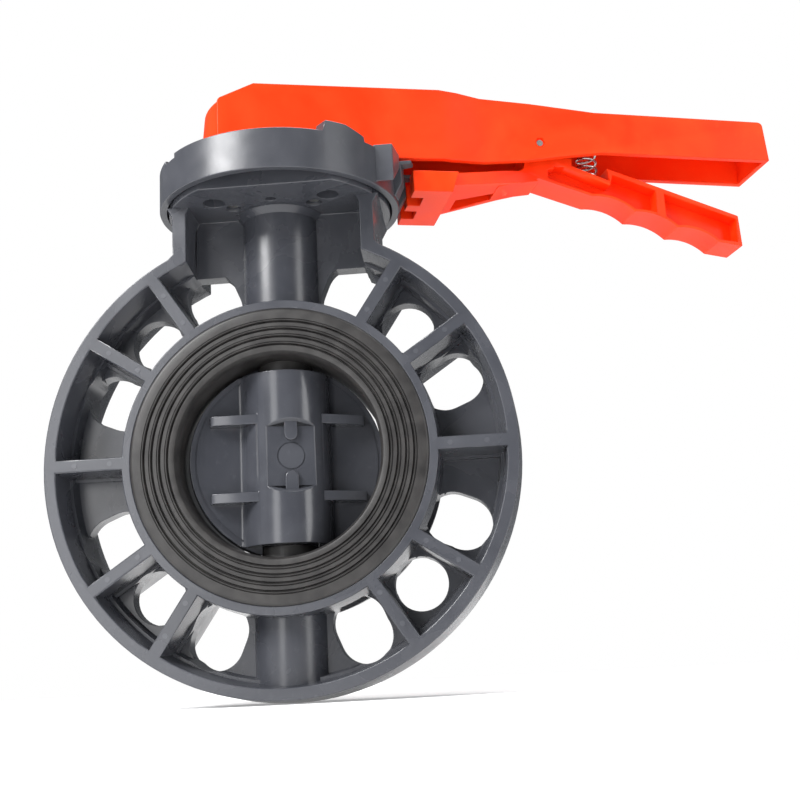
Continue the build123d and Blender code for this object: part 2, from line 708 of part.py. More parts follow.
# ---------------------------------------------------------------- write every node
def write(name, shape):
    export_step(shape, os.path.join("parts", name + ".step"))


os.makedirs("parts", exist_ok=True)
write("valve_body", valve_body())
write("seat_liner", seat_liner())
write("disc", disc())
write("stem", stem())
for name, span in BUSH_SPANS.items():
    write(name, stem_bush(span, UPPER_O_RING_Z))
write("lower_stem_bush", stem_bush(LOWER_BUSH_SPAN, LOWER_O_RING_Z))
write("upper_o_rings", Compound(o_rings(UPPER_O_RING_Z)))
write("lower_o_ring", Compound(o_rings(LOWER_O_RING_Z)))
write("thrust_washer", thrust_washer())
write("retaining_ring", retaining_ring())
write("index_plate", index_plate())
write("plate_screws", Compound(plate_screws()))
write("lever_handle", lever_handle())
write("lever_screw", lever_screw())
write("lever_washer", lever_washer())
write("spring_washer", spring_washer())
write("trigger_latch", trigger_latch())
write("trigger_pin", trigger_pin())
write("trigger_spring", trigger_spring())
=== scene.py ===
import bpy
import bmesh
import math
from mathutils import Matrix, Vector


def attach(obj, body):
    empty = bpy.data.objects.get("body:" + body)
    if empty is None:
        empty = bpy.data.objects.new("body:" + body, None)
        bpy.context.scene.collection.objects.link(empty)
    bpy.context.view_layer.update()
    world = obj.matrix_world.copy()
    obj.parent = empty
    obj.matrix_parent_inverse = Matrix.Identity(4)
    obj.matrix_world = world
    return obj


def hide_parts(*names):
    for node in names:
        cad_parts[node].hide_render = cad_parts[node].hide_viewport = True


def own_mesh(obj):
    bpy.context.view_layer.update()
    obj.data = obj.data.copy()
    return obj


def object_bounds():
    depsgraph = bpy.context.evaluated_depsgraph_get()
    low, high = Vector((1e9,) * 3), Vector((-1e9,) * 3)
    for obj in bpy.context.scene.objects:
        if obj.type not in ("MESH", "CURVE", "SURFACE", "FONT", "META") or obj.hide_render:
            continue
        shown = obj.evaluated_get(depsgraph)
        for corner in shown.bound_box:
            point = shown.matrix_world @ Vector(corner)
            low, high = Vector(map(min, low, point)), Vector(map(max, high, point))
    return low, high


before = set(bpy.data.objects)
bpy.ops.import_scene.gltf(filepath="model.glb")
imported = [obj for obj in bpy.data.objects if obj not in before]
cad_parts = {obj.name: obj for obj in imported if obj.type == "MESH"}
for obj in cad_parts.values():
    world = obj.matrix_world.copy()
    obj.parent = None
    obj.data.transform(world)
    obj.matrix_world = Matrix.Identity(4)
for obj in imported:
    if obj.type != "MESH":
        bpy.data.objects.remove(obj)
cad_box = [list(corner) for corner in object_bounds()]

# ---------------------------------------------------------------- table, lamps and camera
# The valve stands on its rim on a white table in a white studio.
# Broad soft lamps stand at the upper left and overhead, and the table throws light back up.
TABLE_SIZE = 1.3
ROOM_WHITE = 1.0
ROOM_FILL = 0.20
TABLE_GLOW = 0.30
CAMERA_PLACE = (0.0825, -0.4880, -0.0885)
CAMERA_TURN = 3.87
CAMERA_TILT = 12.97
CAMERA_ROLL = -2.94
LENS_MM = 52.48
SENSOR_MM = 36.0
AIM = (0.05, 0.0, 0.03)
# Each lamp: name, place, size in metres, power in watts.
LAMPS = (
    ("key_left", (-0.75, -0.80, 0.80), (0.5, 0.6), 30.0),
    ("overhead", (0.20, 0.10, 1.20), (1.2, 0.8), 14.0),
    ("front_low", (-0.45, -1.10, -0.02), (0.35, 0.9), 4.5),
    ("fill_right", (1.00, -0.55, 0.25), (0.35, 0.8), 4.0),
)

scene = bpy.context.scene
scene.view_settings.view_transform = "Standard"


def studio_world():
    """White where it is looked at, and dimmer where it only lights the valve."""
    world = bpy.data.worlds.new("studio")
    world.use_nodes = True
    nodes, links = world.node_tree.nodes, world.node_tree.links
    nodes.clear()
    seen = nodes.new("ShaderNodeBackground")
    seen.inputs["Color"].default_value = (1.0, 1.0, 1.0, 1.0)
    seen.inputs["Strength"].default_value = ROOM_WHITE
    fill = nodes.new("ShaderNodeBackground")
    fill.inputs["Color"].default_value = (0.92, 0.95, 1.0, 1.0)
    fill.inputs["Strength"].default_value = ROOM_FILL
    path = nodes.new("ShaderNodeLightPath")
    mix = nodes.new("ShaderNodeMixShader")
    out = nodes.new("ShaderNodeOutputWorld")
    links.new(path.outputs["Is Camera Ray"], mix.inputs["Fac"])
    links.new(fill.outputs["Background"], mix.inputs[1])
    links.new(seen.outputs["Background"], mix.inputs[2])
    links.new(mix.outputs["Shader"], out.inputs["Surface"])
    scene.world = world


def softbox(name, place, size, power):
    """A rectangular studio lamp that points at the valve."""
    lamp = bpy.data.lights.new(name, "AREA")
    lamp.shape = "RECTANGLE"
    lamp.size, lamp.size_y = size
    lamp.energy = power
    lamp_object = bpy.data.objects.new(name, lamp)
    lamp_object.location = place
    towards = Vector(AIM) - Vector(place)
    lamp_object.rotation_mode = "QUATERNION"
    lamp_object.rotation_quaternion = towards.to_track_quat("-Z", "Y")
    scene.collection.objects.link(lamp_object)


def table_top():
    """The white table: a plain matt sheet with no shine, so that it shows no line at its end."""
    half = TABLE_SIZE / 2
    level = cad_box[0][2]
    mesh = bpy.data.meshes.new("table_top")
    square = ((-half, -half), (half, -half), (half, half), (-half, half))
    corners = [(x, y, level) for x, y in square]
    mesh.from_pydata(corners, [], [(0, 1, 2, 3)])
    table = bpy.data.objects.new("table_top", mesh)
    scene.collection.objects.link(table)
    material = bpy.data.materials.new("table_white")
    material.use_nodes = True
    shader = material.node_tree.nodes["Principled BSDF"]
    shader.inputs["Base Color"].default_value = (0.9, 0.9, 0.9, 1.0)
    shader.inputs["Roughness"].default_value = 1.0
    shader.inputs["Specular IOR Level"].default_value = 0.0
    shader.inputs["Emission Color"].default_value = (1.0, 1.0, 1.0, 1.0)
    shader.inputs["Emission Strength"].default_value = TABLE_GLOW
    mesh.materials.append(material)


studio_world()
table_top()
for lamp_name, lamp_place, lamp_size, watts in LAMPS:
    softbox(lamp_name, lamp_place, lamp_size, watts)

camera_data = bpy.data.cameras.new("camera")
camera_data.lens = LENS_MM
camera_data.sensor_width = SENSOR_MM
camera_data.clip_start = 0.01
camera = bpy.data.objects.new("camera", camera_data)
turn = Matrix.Rotation(math.radians(CAMERA_TURN), 4, "Z")
tilt = Matrix.Rotation(math.radians(90.0 + CAMERA_TILT), 4, "X")
roll = Matrix.Rotation(math.radians(CAMERA_ROLL), 4, "Z")
camera.matrix_world = Matrix.Translation(CAMERA_PLACE) @ turn @ tilt @ roll
scene.collection.objects.link(camera)
scene.camera = camera

# ---------------------------------------------------------------- valve body
# The body is one injection moulding in dark grey PVC. Its steel mould leaves a fine satin
# skin and corners that are only just broken, and handling leaves rubs on them.
GREY = (0.038, 0.040, 0.048)
GREY_RUBBED = (0.085, 0.088, 0.100)
SCUFF_STRETCH = (420.0, 60.0, 260.0)
EDGE_WEAR = 0.45
SCUFF_WEAR = 0.16
MOTTLE_RELIEF = 0.25
SKIN_DEPTH = 0.0001
WELD_DISTANCE = 2e-6
FLAT_DEG = 0.6
SHARP_DEG = 32
BODY_EDGE = 0.0005
BODY_FACE_Y = 0.0225
WEB_HALF = 0.0045
BOLT_HOLES_R = (0.0690, 0.0890)
PAD_ROOT_Z = 0.1080
PAD_EDGE_Z = 0.1095
NECK_SIDE_X = 0.0180


def group_socket(tree, name, kind, out=False, value=None):
    """Adds one named input or output to a node group."""
    way = "OUTPUT" if out else "INPUT"
    socket = tree.interface.new_socket(name, in_out=way, socket_type=kind)
    if value is not None:
        socket.default_value = value


def mould_skin_group():
    """Satin skin of a moulding: fine grain, soft flow mottling and rubs along the edges."""
    tree = bpy.data.node_groups.new("mould_skin", "ShaderNodeTree")
    group_socket(tree, "Place", "NodeSocketVector")
    group_socket(tree, "Plain", "NodeSocketColor", value=(0.1, 0.1, 0.1, 1.0))
    group_socket(tree, "Rubbed", "NodeSocketColor", value=(0.2, 0.2, 0.2, 1.0))
    group_socket(tree, "Mottle Size", "NodeSocketFloat", value=60.0)
    group_socket(tree, "Mottle", "NodeSocketFloat", value=0.25)
    group_socket(tree, "Grain Size", "NodeSocketFloat", value=1800.0)
    group_socket(tree, "Roughness", "NodeSocketFloat", value=0.35)
    group_socket(tree, "Roughness Spread", "NodeSocketFloat", value=0.2)
    group_socket(tree, "Colour", "NodeSocketColor", out=True)
    group_socket(tree, "Roughness", "NodeSocketFloat", out=True)
    group_socket(tree, "Height", "NodeSocketFloat", out=True)
    nodes, links = tree.nodes, tree.links
    given = nodes.new("NodeGroupInput")
    result = nodes.new("NodeGroupOutput")
    mottle = nodes.new("ShaderNodeTexNoise")
    mottle.inputs["Detail"].default_value = 5.0
    mottle.inputs["Distortion"].default_value = 0.6
    links.new(given.outputs["Place"], mottle.inputs["Vector"])
    links.new(given.outputs["Mottle Size"], mottle.inputs["Scale"])
    grain = nodes.new("ShaderNodeTexNoise")
    grain.inputs["Detail"].default_value = 2.0
    links.new(given.outputs["Place"], grain.inputs["Vector"])
    links.new(given.outputs["Grain Size"], grain.inputs["Scale"])
    # Scuffs are thin streaks: a noise stretched along the flow axis and cut to its crests.
    stretch = nodes.new("ShaderNodeVectorMath")
    stretch.operation = "MULTIPLY"
    stretch.inputs[1].default_value = SCUFF_STRETCH
    links.new(given.outputs["Place"], stretch.inputs[0])
    streak = nodes.new("ShaderNodeTexNoise")
    streak.inputs["Scale"].default_value = 1.0
    streak.inputs["Detail"].default_value = 3.0
    links.new(stretch.outputs["Vector"], streak.inputs["Vector"])
    scuff = nodes.new("ShaderNodeMapRange")
    scuff.inputs["From Min"].default_value = 0.62
    scuff.inputs["From Max"].default_value = 0.74
    links.new(streak.outputs["Fac"], scuff.inputs["Value"])
    # Rubbed edges come from the curvature of the surface.
    form = nodes.new("ShaderNodeNewGeometry")
    edge = nodes.new("ShaderNodeMapRange")
    edge.inputs["From Min"].default_value = 0.52
    edge.inputs["From Max"].default_value = 0.60
    links.new(form.outputs["Pointiness"], edge.inputs["Value"])
    cloud = nodes.new("ShaderNodeMapRange")
    cloud.inputs["From Min"].default_value = 0.35
    cloud.inputs["From Max"].default_value = 0.70
    links.new(mottle.outputs["Fac"], cloud.inputs["Value"])
    amount = nodes.new("ShaderNodeMath")
    amount.operation = "MULTIPLY"
    links.new(cloud.outputs["Result"], amount.inputs[0])
    links.new(given.outputs["Mottle"], amount.inputs[1])
    wear = nodes.new("ShaderNodeMath")
    wear.operation = "MULTIPLY_ADD"
    wear.inputs[1].default_value = EDGE_WEAR
    links.new(edge.outputs["Result"], wear.inputs[0])
    links.new(amount.outputs["Value"], wear.inputs[2])
    rub = nodes.new("ShaderNodeMath")
    rub.operation = "MULTIPLY_ADD"
    rub.inputs[1].default_value = SCUFF_WEAR
    rub.use_clamp = True
    links.new(scuff.outputs["Result"], rub.inputs[0])
    links.new(wear.outputs["Value"], rub.inputs[2])
    colour = nodes.new("ShaderNodeMix")
    colour.data_type = "RGBA"
    links.new(rub.outputs["Value"], colour.inputs["Factor"])
    links.new(given.outputs["Plain"], colour.inputs["A"])
    links.new(given.outputs["Rubbed"], colour.inputs["B"])
    links.new(colour.outputs["Result"], result.inputs["Colour"])
    uneven = nodes.new("ShaderNodeMath")
    uneven.operation = "SUBTRACT"
    uneven.inputs[1].default_value = 0.5
    links.new(mottle.outputs["Fac"], uneven.inputs[0])
    satin = nodes.new("ShaderNodeMath")
    satin.operation = "MULTIPLY_ADD"
    satin.use_clamp = True
    links.new(uneven.outputs["Value"], satin.inputs[0])
    links.new(given.outputs["Roughness Spread"], satin.inputs[1])
    links.new(given.outputs["Roughness"], satin.inputs[2])
    links.new(satin.outputs["Value"], result.inputs["Roughness"])
    height = nodes.new("ShaderNodeMath")
    height.operation = "MULTIPLY_ADD"
    height.inputs[1].default_value = MOTTLE_RELIEF
    links.new(mottle.outputs["Fac"], height.inputs[0])
    links.new(grain.outputs["Fac"], height.inputs[2])
    links.new(height.outputs["Value"], result.inputs["Height"])
    return tree


mould_skin = mould_skin_group()


def moulded_plastic(
    name, plain, rubbed, mottle, mottle_size, roughness, spread, bump, specular=0.5
):
    """A plastic that takes its look from the shared moulding skin."""
    material = bpy.data.materials.new(name)
    material.use_nodes = True
    nodes, links = material.node_tree.nodes, material.node_tree.links
    shader = nodes["Principled BSDF"]
    place = nodes.new("ShaderNodeTexCoord")
    skin = nodes.new("ShaderNodeGroup")
    skin.node_tree = mould_skin
    skin.inputs["Plain"].default_value = (*plain, 1.0)
    skin.inputs["Rubbed"].default_value = (*rubbed, 1.0)
    skin.inputs["Mottle"].default_value = mottle
    skin.inputs["Mottle Size"].default_value = mottle_size
    skin.inputs["Roughness"].default_value = roughness
    skin.inputs["Roughness Spread"].default_value = spread
    relief = nodes.new("ShaderNodeBump")
    relief.inputs["Strength"].default_value = bump
    relief.inputs["Distance"].default_value = SKIN_DEPTH
    links.new(place.outputs["Object"], skin.inputs["Place"])
    links.new(skin.outputs["Colour"], shader.inputs["Base Color"])
    links.new(skin.outputs["Roughness"], shader.inputs["Roughness"])
    links.new(skin.outputs["Height"], relief.inputs["Height"])
    links.new(relief.outputs["Normal"], shader.inputs["Normal"])
    shader.inputs["Specular IOR Level"].default_value = specular
    return material


def moulding(node, name, material, body, width, chosen):
    """A copy of a moulded part whose outer corners are broken as the mould leaves them.
    chosen(edge) gives how much of the width an edge takes, from 0 for a corner left sharp."""
    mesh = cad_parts[node].data.copy()
    piece = bpy.data.objects.new(name, mesh)
    scene.collection.objects.link(piece)
    work = bmesh.new()
    work.from_mesh(mesh)
    bmesh.ops.remove_doubles(work, verts=work.verts, dist=WELD_DISTANCE)
    bmesh.ops.dissolve_limit(
        work, angle_limit=math.radians(FLAT_DEG), verts=work.verts, edges=work.edges
    )
    weight = work.edges.layers.float.new("bevel_weight_edge")
    for edge in work.edges:
        turn_angle = edge.calc_face_angle(0.0) if len(edge.link_faces) == 2 else 0.0
        edge.smooth = turn_angle < math.radians(SHARP_DEG)
        if not edge.smooth and edge.calc_length() > 0.5 * width:
            edge[weight] = chosen(edge)
    for face in work.faces:
        face.smooth = True
    work.to_mesh(mesh)
    work.free()
    mesh.materials.clear()
    mesh.materials.append(material)
    bevel = piece.modifiers.new("broken_corners", "BEVEL")
    bevel.width = width
    bevel.segments = 2
    bevel.limit_method = "WEIGHT"
    bevel.use_clamp_overlap = False
    bevel.miter_outer = "MITER_ARC"
    bevel.harden_normals = True
    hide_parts(node)
    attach(piece, body)


def middle(edge):
    """The middle point of an edge."""
    return (edge.verts[0].co + edge.verts[1].co) / 2


def body_corner(edge):
    """Corners of the body: full on both faces and under the pad, lighter round the bolt holes."""
    spot = middle(edge)
    around = math.hypot(spot.x, spot.z)
    in_web = abs(spot.y) < WEB_HALF
    if not edge.is_convex:
        under_pad = in_web and spot.z > PAD_ROOT_Z and abs(spot.x) > NECK_SIDE_X
        return 1.0 if under_pad else 0.0
    if abs(spot.y) > BODY_FACE_Y:
        return 1.0
    if in_web and BOLT_HOLES_R[0] < around < BOLT_HOLES_R[1]:
        return 0.5
    if spot.z > PAD_EDGE_Z:
        return 0.7
    return 0.0


grey_plastic = moulded_plastic(
    "grey_plastic", GREY, GREY_RUBBED,
    mottle=0.30, mottle_size=38.0, roughness=0.27, spread=0.30, bump=0.25,
)
moulding("valve_body", "body_moulding", grey_plastic, "valve", BODY_EDGE, body_corner)

# ---------------------------------------------------------------- ejector marks
# Round witness marks stand a hair proud on the faces of the ribs, where the mould's ejector
# pins pushed the body out. The same pattern is on both faces.
MARK_R = 0.0011
MARK_HEIGHT = 0.00012
MARK_SIDES = 20
MARK_RINGS = (0.0705, 0.0855)
RIB_FACE_Y = 0.0230
RIB_ANGLES = (33.75, 56.25, 90.0, 123.75, 146.25)


def tree_input(tree, name, kind, value):
    """Adds a named input to a geometry tree and gives the socket's identifier."""
    socket = tree.interface.new_socket(name, in_out="INPUT", socket_type=kind)
    socket.default_value = value
    return socket.identifier


def geometry_tree(name):
    """An empty geometry tree with its geometry in and out."""
    tree = bpy.data.node_groups.new(name, "GeometryNodeTree")
    tree.interface.new_socket("Geometry", in_out="INPUT", socket_type="NodeSocketGeometry")
    tree.interface.new_socket("Geometry", in_out="OUTPUT", socket_type="NodeSocketGeometry")
    return tree


def finish_tree(tree, source, material):
    """Ends a geometry tree: instances made real, then the material set."""
    real = tree.nodes.new("GeometryNodeRealizeInstances")
    paint = tree.nodes.new("GeometryNodeSetMaterial")
    paint.inputs["Material"].default_value = material
    out = tree.nodes.new("NodeGroupOutput")
    tree.links.new(source, real.inputs["Geometry"])
    tree.links.new(real.outputs["Geometry"], paint.inputs["Geometry"])
    tree.links.new(paint.outputs["Geometry"], out.inputs["Geometry"])


def baked(name, host_mesh, tree, values):
    """Runs a geometry tree on a small host mesh and returns the result as a plain mesh piece."""
    host = bpy.data.objects.new(name + "_host", host_mesh)
    scene.collection.objects.link(host)
    modifier = host.modifiers.new("tree", "NODES")
    modifier.node_group = tree
    for identifier, value in values.items():
        modifier[identifier] = value
    bpy.context.view_layer.update()
    evaluated = host.evaluated_get(bpy.context.evaluated_depsgraph_get())
    mesh = bpy.data.meshes.new_from_object(evaluated)
    host.modifiers.remove(modifier)
    bpy.data.objects.remove(host)
    piece = bpy.data.objects.new(name, mesh)
    scene.collection.objects.link(piece)
    return piece


def spots_mesh(name, spots):
    """Loose points, one for each place where a thing is repeated."""
    mesh = bpy.data.meshes.new(name)
    mesh.from_pydata(spots, [], [])
    return mesh


def mark_tree():
    """One thin round disc laid on each point, flat against the face."""
    tree = geometry_tree("ejector_marks")
    radius = tree_input(tree, "Radius", "NodeSocketFloat", MARK_R)
    height = tree_input(tree, "Height", "NodeSocketFloat", 2 * MARK_HEIGHT)
    given = tree.nodes.new("NodeGroupInput")
    disc = tree.nodes.new("GeometryNodeMeshCylinder")
    disc.inputs["Vertices"].default_value = MARK_SIDES
    spread = tree.nodes.new("GeometryNodeInstanceOnPoints")
    spread.inputs["Rotation"].default_value = (math.radians(90), 0.0, 0.0)
    tree.links.new(given.outputs["Geometry"], spread.inputs["Points"])
    tree.links.new(given.outputs["Radius"], disc.inputs["Radius"])
    tree.links.new(given.outputs["Height"], disc.inputs["Depth"])
    tree.links.new(disc.outputs["Mesh"], spread.inputs["Instance"])
    finish_tree(tree, spread.outputs["Instances"], grey_plastic)
    return tree, radius, height


mark_spots = []
for face in (-1, 1):
    for side in (-1, 1):
        for angle in RIB_ANGLES:
            for ring in MARK_RINGS:
                x = side * ring * math.sin(math.radians(angle))
                z = ring * math.cos(math.radians(angle))
                mark_spots.append((x, face * RIB_FACE_Y, z))
marks_tree, radius_socket, height_socket = mark_tree()
marks = baked(
    "ejector_marks",
    spots_mesh("mark_spots", mark_spots),
    marks_tree,
    {radius_socket: MARK_R, height_socket: 2 * MARK_HEIGHT},
)
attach(marks, "valve")

# ---------------------------------------------------------------- rubber seat
# One moulded sleeve of black-grey rubber lines the bore and folds over both faces, where
# rounded ridges press on the pipe flanges. Its bore has a flat boss about each stem hole.
SEAT_BORE_R = 0.0420
SEAT_FLANGE_R = 0.06188
SEAT_BODY_R = 0.04648
SEAT_FOLD_Y = 0.02002
SEAT_FACE_Y = 0.0242
LAND_STEP = 0.0004
LIP_START_Y = 0.0188
RIM_FLAT_R = 0.0606
RIM_EDGE_R = 0.0614
RIDGE_R = (0.0466, 0.0499, 0.0532, 0.0565)
GROOVE_DEEP = 0.0011
STEM_HOLE_R = 0.00806
BOSS_R = 0.0120
BOSS_Z = 0.0367
BOSS_END_Z = 0.0430
STEM_HOLE_END_Z = 0.0600
TURN_STEPS = 160
CUTTER_SIDES = 96
LATHE_SHARP_DEG = 38


def seat_profile():
    """Half of the sleeve's section, from the middle of the bore out over one face."""
    low = SEAT_FACE_Y - LAND_STEP
    points = [(SEAT_BORE_R, 0.0), (SEAT_BORE_R, LIP_START_Y)]
    points += [(SEAT_BORE_R + 0.0002, 0.0208), (SEAT_BORE_R + 0.0007, 0.0226)]
    points += [(SEAT_BORE_R + 0.0014, 0.0236), (SEAT_BORE_R + 0.0021, low)]
    for ridge in RIDGE_R:
        points += [
            (ridge - 0.00105, low),
            (ridge - 0.00085, low - 0.0002),
            (ridge - 0.00062, low - GROOVE_DEEP),
            (ridge - 0.00042, low - GROOVE_DEEP),
            (ridge - 0.00022, low - 0.0001),
            (ridge, SEAT_FACE_Y),
            (ridge + 0.00026, SEAT_FACE_Y),
            (ridge + 0.00048, SEAT_FACE_Y - 0.0003),
            (ridge + 0.00060, low - 0.0003),
            (ridge + 0.00085, low),
        ]
    points += [(RIM_FLAT_R, low), (RIM_EDGE_R, low - 0.0002), (SEAT_FLANGE_R, low - 0.0008)]
    points += [(SEAT_FLANGE_R, SEAT_FOLD_Y), (SEAT_BODY_R, SEAT_FOLD_Y)]
    return points


def lathe(name, outline, axis_turn, steps):
    """A closed outline of (radius, height) points spun into a solid ring."""
    work = bmesh.new()
    rings = []
    for step in range(steps):
        angle = 2 * math.pi * step / steps
        spot = [(r * math.cos(angle), r * math.sin(angle), h) for r, h in outline]
        rings.append([work.verts.new(axis_turn @ Vector(point)) for point in spot])
    count = len(outline)
    for step in range(steps):
        here, there = rings[step], rings[(step + 1) % steps]
        for index in range(count):
            after = (index + 1) % count
            work.faces.new((here[index], here[after], there[after], there[index]))
    bmesh.ops.recalc_face_normals(work, faces=work.faces)
    mesh = bpy.data.meshes.new(name)
    for face in work.faces:
        face.smooth = True
    for edge in work.edges:
        edge.smooth = edge.calc_face_angle(0.0) < math.radians(LATHE_SHARP_DEG)
    work.to_mesh(mesh)
    work.free()
    piece = bpy.data.objects.new(name, mesh)
    scene.collection.objects.link(piece)
    return piece


def upright_cutter(name, radius, low, high):
    """A plain round bar used only to cut or fill, and then thrown away."""
    work = bmesh.new()
    place = Matrix.Translation((0, 0, (low + high) / 2))
    bmesh.ops.create_cone(
        work, cap_ends=True, segments=CUTTER_SIDES,
        radius1=radius, radius2=radius, depth=high - low, matrix=place,
    )
    mesh = bpy.data.meshes.new(name)
    work.to_mesh(mesh)
    work.free()
    cutter = bpy.data.objects.new(name, mesh)
    scene.collection.objects.link(cutter)
    return cutter


def carved(piece, steps):
    """Applies a list of (operation, cutter) to a piece, one after the other."""
    for operation, cutter in steps:
        modifier = piece.modifiers.new("carve", "BOOLEAN")
        modifier.operation = operation
        modifier.solver = "EXACT"
        modifier.object = cutter
    bpy.context.view_layer.update()
    evaluated = piece.evaluated_get(bpy.context.evaluated_depsgraph_get())
    mesh = bpy.data.meshes.new_from_object(evaluated)
    piece.modifiers.clear()
    piece.data = mesh
    for _, cutter in steps:
        bpy.data.objects.remove(cutter)


def rubber_material():
    """Matt dark rubber: a warm black with bloom dust in its pores and a soft sheen."""
    material = bpy.data.materials.new("seat_rubber")
    material.use_nodes = True
    nodes, links = material.node_tree.nodes, material.node_tree.links
    shader = nodes["Principled BSDF"]
    place = nodes.new("ShaderNodeTexCoord")
    bloom = nodes.new("ShaderNodeTexNoise")
    bloom.inputs["Scale"].default_value = 160.0
    bloom.inputs["Detail"].default_value = 6.0
    pores = nodes.new("ShaderNodeTexNoise")
    pores.inputs["Scale"].default_value = 2600.0
    tint = nodes.new("ShaderNodeValToRGB")
    tint.color_ramp.elements[0].position = 0.30
    tint.color_ramp.elements[0].color = (0.014, 0.013, 0.013, 1.0)
    tint.color_ramp.elements[1].position = 0.75
    tint.color_ramp.elements[1].color = (0.034, 0.032, 0.031, 1.0)
    matt = nodes.new("ShaderNodeMapRange")
    matt.inputs["To Min"].default_value = 0.34
    matt.inputs["To Max"].default_value = 0.52
    relief = nodes.new("ShaderNodeBump")
    relief.inputs["Strength"].default_value = 0.25
    relief.inputs["Distance"].default_value = SKIN_DEPTH
    for texture in (bloom, pores):
        links.new(place.outputs["Object"], texture.inputs["Vector"])
    links.new(bloom.outputs["Fac"], tint.inputs["Fac"])
    links.new(bloom.outputs["Fac"], matt.inputs["Value"])
    links.new(pores.outputs["Fac"], relief.inputs["Height"])
    links.new(tint.outputs["Color"], shader.inputs["Base Color"])
    links.new(matt.outputs["Result"], shader.inputs["Roughness"])
    links.new(relief.outputs["Normal"], shader.inputs["Normal"])
    shader.inputs["Specular IOR Level"].default_value = 0.4
    return material


rubber = rubber_material()
half_profile = seat_profile()
full_profile = half_profile + [(r, -h) for r, h in reversed(half_profile[1:])]
seat = lathe("seat_rubber", full_profile, Matrix.Rotation(math.radians(90), 3, "X"), TURN_STEPS)
carved(
    seat,
    [
        ("UNION", upright_cutter("boss_up", BOSS_R, BOSS_Z, BOSS_END_Z)),
        ("UNION", upright_cutter("boss_down", BOSS_R, -BOSS_END_Z, -BOSS_Z)),
        (
            "DIFFERENCE",
            upright_cutter("stem_room", STEM_HOLE_R, -STEM_HOLE_END_Z, STEM_HOLE_END_Z),
        ),
    ],
)
seat.data.materials.clear()
seat.data.materials.append(rubber)
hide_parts("seat_liner")
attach(seat, "valve")

# ---------------------------------------------------------------- disc
# The closing disc is moulded in the same grey PVC, glossier than the body, with a stout hub
# over the stem, cross fins, and small tabs and an engraved ring on the hub's flat.
DISC_EDGE = 0.0005
MARKED_FLAT = (0.0065, 0.0162, 0.0158)
EDGE_LINE_R = (0.0380, 0.0398)
DISC_PLATE_HALF = 0.0045
LEVER_TURN_DEG = 15
# Turns a point back to where it would be with the disc and the lever in line with the axes.
turned_back = Matrix.Rotation(math.radians(-LEVER_TURN_DEG), 3, "Z")


def disc_corner(edge):
    """Outer corners of hub and fins, but not the small marks on the hub's flat."""
    spot = turned_back @ middle(edge)
    if not edge.is_convex:
        return 0.0
    if all(abs(part) < limit for part, limit in zip(spot, MARKED_FLAT)):
        return 0.0
    around = math.hypot(spot.x, spot.z)
    if EDGE_LINE_R[0] < around < EDGE_LINE_R[1] and abs(spot.y) < DISC_PLATE_HALF:
        return 0.0
    return 0.8


disc_plastic = moulded_plastic(
    "disc_plastic", GREY, GREY_RUBBED,
    mottle=0.30, mottle_size=45.0, roughness=0.20, spread=0.20, bump=0.15,
)
moulding("disc", "disc_moulding", disc_plastic, "handle", DISC_EDGE, disc_corner)

# ---------------------------------------------------------------- stem, bushes and seal rings
# A turned stainless stem runs in white plastic bushes with rubber seal rings. A split ring and
# a washer under the index plate hold it in. All of it is inside, and shows only at the ends.
METAL_TINT = (0.60, 0.59, 0.57)
SEAL_TINT = (0.025, 0.025, 0.027)
BUSH_TINT = (0.74, 0.73, 0.69)
BUSH_RUBBED = (0.82, 0.81, 0.78)
SEAL_RUBBED = (0.05, 0.05, 0.05)


def turned_steel(name, streaks, roughness):
    """Machined stainless steel, with fine tool marks across the axis."""
    material = bpy.data.materials.new(name)
    material.use_nodes = True
    nodes, links = material.node_tree.nodes, material.node_tree.links
    shader = nodes["Principled BSDF"]
    place = nodes.new("ShaderNodeTexCoord")
    squeeze = nodes.new("ShaderNodeVectorMath")
    squeeze.operation = "MULTIPLY"
    squeeze.inputs[1].default_value = streaks
    tool_marks = nodes.new("ShaderNodeTexNoise")
    tool_marks.inputs["Scale"].default_value = 1.0
    tool_marks.inputs["Detail"].default_value = 4.0
    shade = nodes.new("ShaderNodeValToRGB")
    shade.color_ramp.elements[0].position = 0.3
    shade.color_ramp.elements[0].color = (*[0.75 * c for c in METAL_TINT], 1.0)
    shade.color_ramp.elements[1].position = 0.7
    shade.color_ramp.elements[1].color = (*METAL_TINT, 1.0)
    dull = nodes.new("ShaderNodeMapRange")
    dull.inputs["To Min"].default_value = roughness - 0.08
    dull.inputs["To Max"].default_value = roughness + 0.12
    relief = nodes.new("ShaderNodeBump")
    relief.inputs["Strength"].default_value = 0.2
    relief.inputs["Distance"].default_value = 0.00005
    links.new(place.outputs["Object"], squeeze.inputs[0])
    links.new(squeeze.outputs["Vector"], tool_marks.inputs["Vector"])
    links.new(tool_marks.outputs["Fac"], shade.inputs["Fac"])
    links.new(tool_marks.outputs["Fac"], dull.inputs["Value"])
    links.new(tool_marks.outputs["Fac"], relief.inputs["Height"])
    links.new(shade.outputs["Color"], shader.inputs["Base Color"])
    links.new(dull.outputs["Result"], shader.inputs["Roughness"])
    links.new(relief.outputs["Normal"], shader.inputs["Normal"])
    shader.inputs["Metallic"].default_value = 1.0
    return material


def dress(node, material):
    """Gives a part that stays as drawn its real finish."""
    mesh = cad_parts[node].data
    mesh.materials.clear()
    mesh.materials.append(material)


